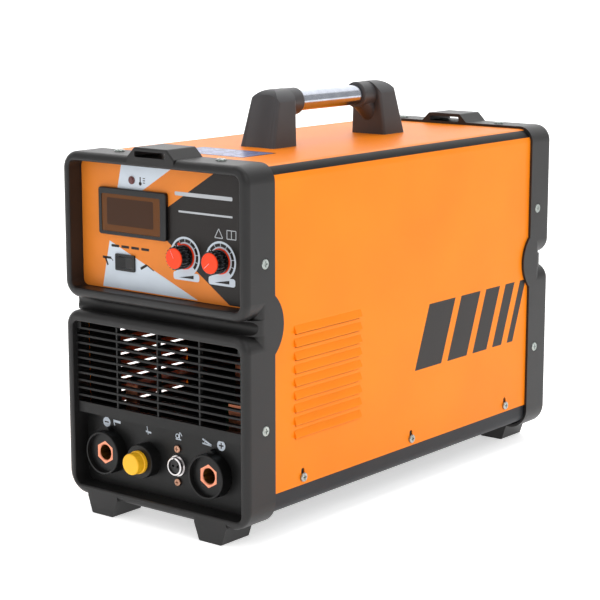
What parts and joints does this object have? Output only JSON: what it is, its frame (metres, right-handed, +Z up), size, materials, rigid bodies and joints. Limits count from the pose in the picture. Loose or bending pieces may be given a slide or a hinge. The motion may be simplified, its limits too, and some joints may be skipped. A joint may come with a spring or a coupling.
{
  "type": "tig welding machine",
  "caption": "Portable inverter welding power source: sheet steel case between moulded end bezels, carrying handle, control panel with knobs, cable sockets, gas outlet and cooling fan",
  "frame": {"origin": "on the floor below the middle of the machine", "axes": "+Z up, the control panel faces -Y, +X to the right of a viewer who faces the controls"},
  "size_m": [0.2058, 0.473, 0.3606],
  "materials": {
    "orange_powder_coat": "satin",
    "black_abs": "fine moulded texture",
    "grey_painted_steel": "satin",
    "polished_aluminium": "polished",
    "zinc_plated_steel": "bright zinc",
    "copper": "machined",
    "brass": "machined",
    "printed_decal": "satin film",
    "amber_filter": "smoked amber",
    "knob_black": "glossy",
    "knob_red": "satin",
    "cap_yellow": "satin",
    "nickel_plate": "bright nickel",
    "switch_black": "satin",
    "lamp_red": "glossy",
    "circuit_board": "solder mask",
    "plain_aluminium": "extruded",
    "capacitor_sleeve": "shrink sleeve",
    "wound_copper": "enamelled winding",
    "hose_rubber": "smooth"
  },
  "bodies": {
    "root": {"front_bezel": "black_abs", "rear_bezel": "black_abs", "front_grille": "black_abs", "connector_panel": "black_abs", "handle_post_front": "black_abs", "handle_post_rear": "black_abs", "negative_socket": "black_abs", "positive_socket": "black_abs", "gas_outlet_collar": "black_abs", "fan_frame": "black_abs", "cable_gland": "black_abs", "cover": "orange_powder_coat", "base_tray": "grey_painted_steel", "control_plate": "grey_painted_steel", "rear_plate": "grey_painted_steel", "fan_guard": "grey_painted_steel", "handle_tube": "polished_aluminium", "bezel_side_screws": "zinc_plated_steel", "bezel_top_screws": "zinc_plated_steel", "cover_screws": "zinc_plated_steel", "handle_screws": "zinc_plated_steel", "torch_socket_screws": "zinc_plated_steel", "fan_screws": "zinc_plated_steel", "earth_stud": "zinc_plated_steel", "negative_contact": "copper", "positive_contact": "copper", "busbars": "copper", "gas_outlet": "brass", "gas_inlet": "brass", "gas_valve": "brass", "control_decal": "printed_decal", "display_frame": "switch_black", "display_window": "amber_filter", "overheat_lamp": "lamp_red", "mode_switch_body": "switch_black", "power_switch_body": "switch_black", "torch_socket_shell": "nickel_plate", "torch_socket_insert": "switch_black", "potentiometers": "plain_aluminium", "control_board": "circuit_board", "power_board": "circuit_board", "heatsinks": "plain_aluminium", "capacitors": "capacitor_sleeve", "main_transformer": "wound_copper", "output_inductor": "wound_copper", "arc_starter": "wound_copper", "gas_hose": "hose_rubber"},
    "gas_delay_dial": {"gas_delay_shaft": "plain_aluminium", "gas_delay_knob": "knob_black", "gas_delay_cap": "knob_red", "gas_delay_pointer": "knob_red"},
    "current_dial": {"current_shaft": "plain_aluminium", "current_knob": "knob_black", "current_cap": "knob_red", "current_pointer": "knob_red"},
    "mode_rocker": {"mode_rocker": "switch_black"},
    "power_toggle": {"power_toggle": "switch_black"},
    "fan_rotor": {"fan_rotor": "black_abs"},
    "gas_dust_cap": {"gas_dust_cap": "cap_yellow"},
    "valve_plunger": {"valve_plunger": "zinc_plated_steel"}
  },
  "joints": [
    {"name": "gas_delay_turn", "type": "hinge", "parent": "root", "child": "gas_delay_dial", "pos_m": [0.0236, -0.2145, 0.2332], "axis": [0, 1, 0], "range_deg": [-105, 165]},
    {"name": "current_turn", "type": "hinge", "parent": "root", "child": "current_dial", "pos_m": [0.0621, -0.2145, 0.2332], "axis": [0, 1, 0], "range_deg": [-5, 265]},
    {"name": "mode_rock", "type": "hinge", "parent": "root", "child": "mode_rocker", "pos_m": [-0.0436, -0.2125, 0.2209], "axis": [0, 0, 1], "range_deg": [-18, 0]},
    {"name": "power_throw", "type": "hinge", "parent": "root", "child": "power_toggle", "pos_m": [-0.048, 0.2125, 0.252], "axis": [1, 0, 0], "range_deg": [0, 48]},
    {"name": "fan_spin", "type": "hinge", "parent": "root", "child": "fan_rotor", "pos_m": [0, 0.201, 0.095], "axis": [0, 1, 0], "continuous": true},
    {"name": "dust_cap_pull", "type": "slide", "parent": "root", "child": "gas_dust_cap", "axis": [0, -1, 0], "range_m": [0, 0.007]},
    {"name": "valve_lift", "type": "slide", "parent": "root", "child": "valve_plunger", "axis": [0, 0, 1], "range_m": [0, 0.0025], "stiffness_N_per_m": 400, "springref_m": -0.003}
  ]
}
